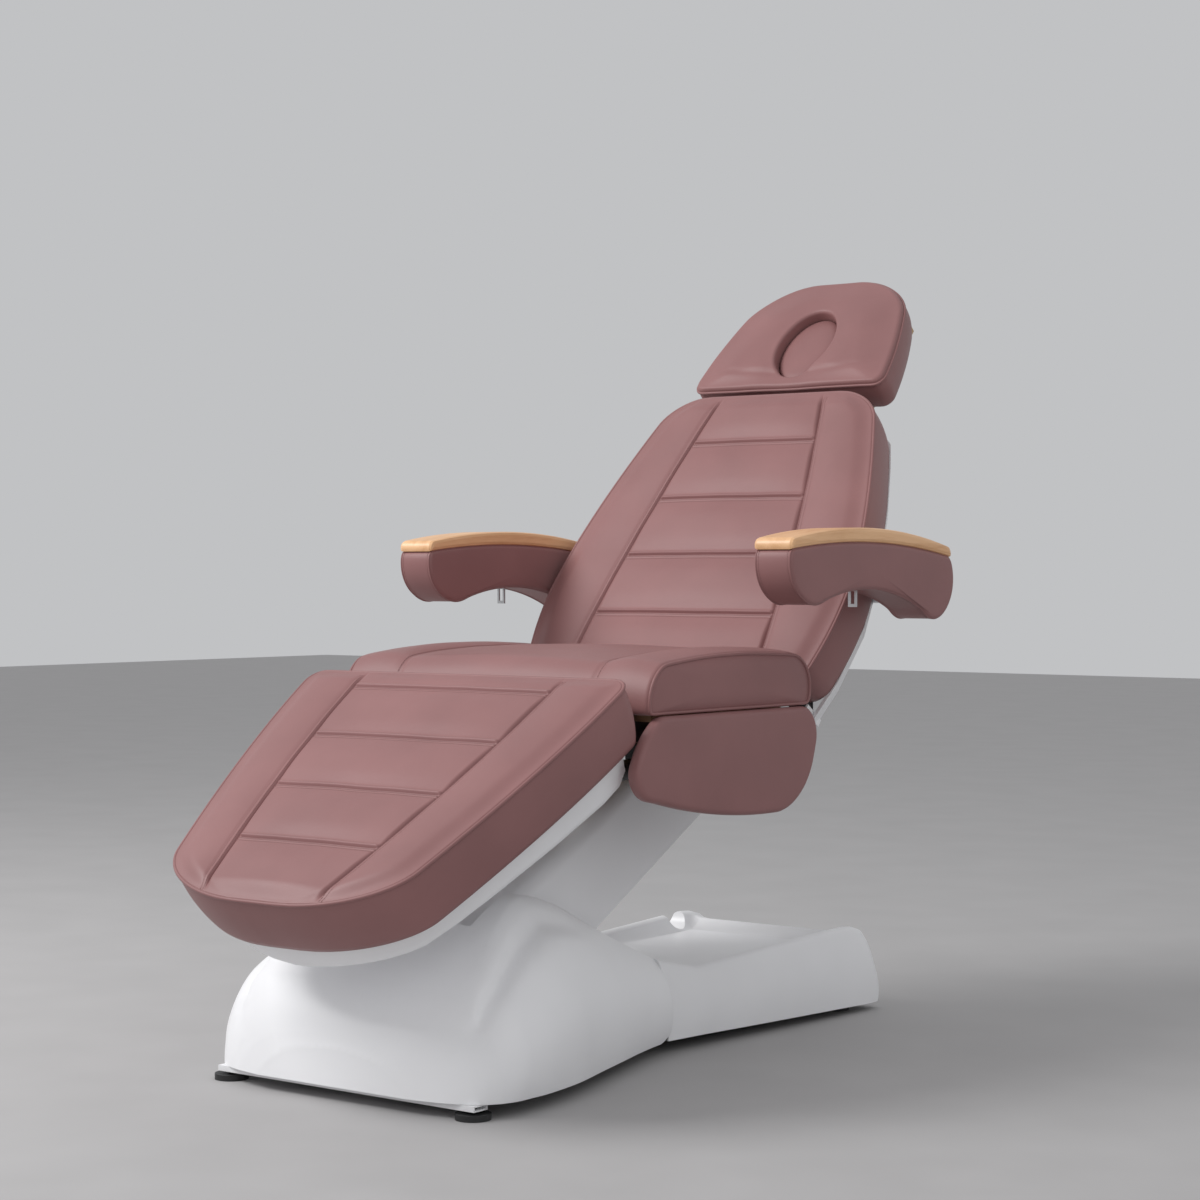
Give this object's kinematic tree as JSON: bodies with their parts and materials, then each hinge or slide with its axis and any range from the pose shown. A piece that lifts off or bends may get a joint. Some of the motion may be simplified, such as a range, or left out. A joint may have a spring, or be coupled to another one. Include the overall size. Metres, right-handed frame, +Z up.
{
  "type": "electric beauty bed",
  "caption": "Electric beauty bed with a sewn leather seat, leg rest, backrest and headrest with a face hole, wood-topped armrests and a lift arm on a low white base.",
  "frame": {"origin": "on the floor, under the middle of the bounding box", "axes": "+X to the sitter's left, +Y from the foot end to the head, +Z up"},
  "size_m": [0.816, 1.5885, 1.3229],
  "materials": {
    "leather": "satin",
    "wood": "satin",
    "white_plastic": "satin",
    "white_paint": "satin",
    "black_paint": "satin",
    "steel": "brushed",
    "bronze": "machined",
    "black_plastic": "matte",
    "plywood": "raw"
  },
  "bodies": {
    "base": {"front_foot_bar": "white_paint", "levelling_feet": "black_plastic", "base_frame_tubes": "black_paint", "pivot_towers": "black_paint", "lift_arm_shaft": "steel", "lower_link_pin": "steel", "lift_actuator_bracket": "black_paint", "lift_actuator_pin": "steel", "base_front_cover": "white_plastic", "base_rear_cover": "white_plastic", "control_box": "black_plastic", "mains_inlet": "black_plastic"},
    "lift_arm": {"lift_arm": "black_paint", "lift_arm_bushes": "bronze", "lift_rod_pin": "steel", "lift_arm_cover": "white_plastic"},
    "level_link": {"level_links": "black_paint"},
    "lift_motor": {"lift_actuator_motor": "black_plastic"},
    "lift_rod": {"lift_actuator_rod": "steel"},
    "seat": {"seat_frame_tubes": "black_paint", "seat_carrier": "black_paint", "seat_shaft": "steel", "upper_link_pin": "steel", "actuator_foot_pins": "steel", "hinge_pins": "steel", "seat_board": "plywood", "seat_cushion": "leather", "left_side_skirt": "leather", "right_side_skirt": "leather", "seat_brackets": "black_paint"},
    "leg_rest": {"leg_frame_tubes": "black_paint", "leg_torque_tube": "black_paint", "leg_rod_pin": "steel", "leg_board": "plywood", "leg_cushion": "leather", "leg_tray": "white_plastic"},
    "leg_motor": {"leg_actuator_motor": "black_plastic"},
    "leg_rod": {"leg_actuator_rod": "steel"},
    "backrest": {"back_frame_tubes": "black_paint", "armrest_pins": "steel", "back_brackets": "black_paint", "back_rod_pin": "steel", "back_cushion": "leather", "back_shell": "white_plastic"},
    "back_motor": {"back_actuator_motor": "black_plastic"},
    "back_rod": {"back_actuator_rod": "steel"},
    "headrest": {"headrest_arms": "black_paint", "head_hinge_pins": "steel", "headrest_board": "plywood", "head_cushion": "leather"},
    "face_plug": {"face_plug": "leather"},
    "left_armrest": {"left_armrest_pad": "leather", "left_armrest_top": "wood", "left_armrest_hub": "steel"},
    "left_tab": {"left_release_tab": "steel"},
    "right_armrest": {"right_armrest_pad": "leather", "right_armrest_top": "wood", "right_armrest_hub": "steel"},
    "right_tab": {"right_release_tab": "steel"}
  },
  "joints": [
    {"name": "lift", "type": "hinge", "parent": "base", "child": "lift_arm", "pos_m": [0, -0.372, 0.176], "axis": [1, 0, 0], "range_deg": [-7, 24]},
    {"name": "seat_level", "type": "hinge", "parent": "lift_arm", "child": "seat", "pos_m": [0, 0.06318, 0.42221], "axis": [1, 0, 0], "range_deg": [-24.5, 7.5]},
    {"name": "level_link_swing", "type": "hinge", "parent": "base", "child": "level_link", "pos_m": [0, -0.348, 0.134], "axis": [1, 0, 0], "range_deg": [-7.5, 24.5]},
    {"name": "lift_motor_swing", "type": "hinge", "parent": "base", "child": "lift_motor", "pos_m": [0, -0.312, 0.066], "axis": [1, 0, 0], "range_deg": [-6.31, 20.42]},
    {"name": "lift_rod_travel", "type": "slide", "parent": "lift_motor", "child": "lift_rod", "axis": [0, 0.6597, 0.7515], "range_m": [-0.01458, 0.04755]},
    {"name": "leg_tilt", "type": "hinge", "parent": "seat", "child": "leg_rest", "pos_m": [0, -0.26382, 0.54021], "axis": [-1, 0, 0], "range_deg": [0, 34]},
    {"name": "leg_motor_swing", "type": "hinge", "parent": "seat", "child": "leg_motor", "pos_m": [0.157, 0.01318, 0.47421], "axis": [1, 0, 0], "range_deg": [-2.52, 0.5]},
    {"name": "leg_rod_travel", "type": "slide", "parent": "leg_motor", "child": "leg_rod", "axis": [0, -0.9964, -0.0852], "range_m": [-0.001, 0.0532]},
    {"name": "back_recline", "type": "hinge", "parent": "seat", "child": "backrest", "pos_m": [0, 0.24418, 0.56521], "axis": [1, 0, 0], "range_deg": [-54.5, 9]},
    {"name": "back_motor_swing", "type": "hinge", "parent": "seat", "child": "back_motor", "pos_m": [-0.157, -0.07182, 0.45621], "axis": [1, 0, 0], "range_deg": [-4.36, 1.14]},
    {"name": "back_rod_travel", "type": "slide", "parent": "back_motor", "child": "back_rod", "axis": [0, 0.9854, 0.1702], "range_m": [-0.06018, 0.01077]},
    {"name": "head_tilt", "type": "hinge", "parent": "backrest", "child": "headrest", "pos_m": [0, 0.59586, 1.05136], "axis": [1, 0, 0], "range_deg": [-35, 15]},
    {"name": "face_plug_out", "type": "slide", "parent": "headrest", "child": "face_plug", "axis": [0, -0.7314, 0.682], "range_m": [0, 0.12]},
    {"name": "left_armrest_lift", "type": "hinge", "parent": "backrest", "child": "left_armrest", "pos_m": [0.371, 0.39147, 0.73038], "axis": [-1, 0, 0], "range_deg": [-55, 75]},
    {"name": "left_tab_pull", "type": "hinge", "parent": "left_armrest", "child": "left_tab", "pos_m": [0.371, 0.19647, 0.75038], "axis": [1, 0, 0], "range_deg": [-20, 20]},
    {"name": "right_armrest_lift", "type": "hinge", "parent": "backrest", "child": "right_armrest", "pos_m": [-0.371, 0.39147, 0.73038], "axis": [-1, 0, 0], "range_deg": [-55, 75]},
    {"name": "right_tab_pull", "type": "hinge", "parent": "right_armrest", "child": "right_tab", "pos_m": [-0.371, 0.19647, 0.75038], "axis": [1, 0, 0], "range_deg": [-20, 20]}
  ],
  "couplings": [
    {"joint": "seat_level", "follows": "lift", "ratio": -1},
    {"joint": "level_link_swing", "follows": "lift", "ratio": 1},
    {"joint": "lift_motor_swing", "follows": "lift", "ratio": 0.83011},
    {"joint": "lift_rod_travel", "follows": "lift", "m_per_rad": 0.11114},
    {"joint": "leg_motor_swing", "follows": "leg_tilt", "ratio": -0.05944},
    {"joint": "leg_rod_travel", "follows": "leg_tilt", "m_per_rad": 0.087972},
    {"joint": "back_motor_swing", "follows": "back_recline", "ratio": 0.07084},
    {"joint": "back_rod_travel", "follows": "back_recline", "m_per_rad": 0.062216}
  ]
}
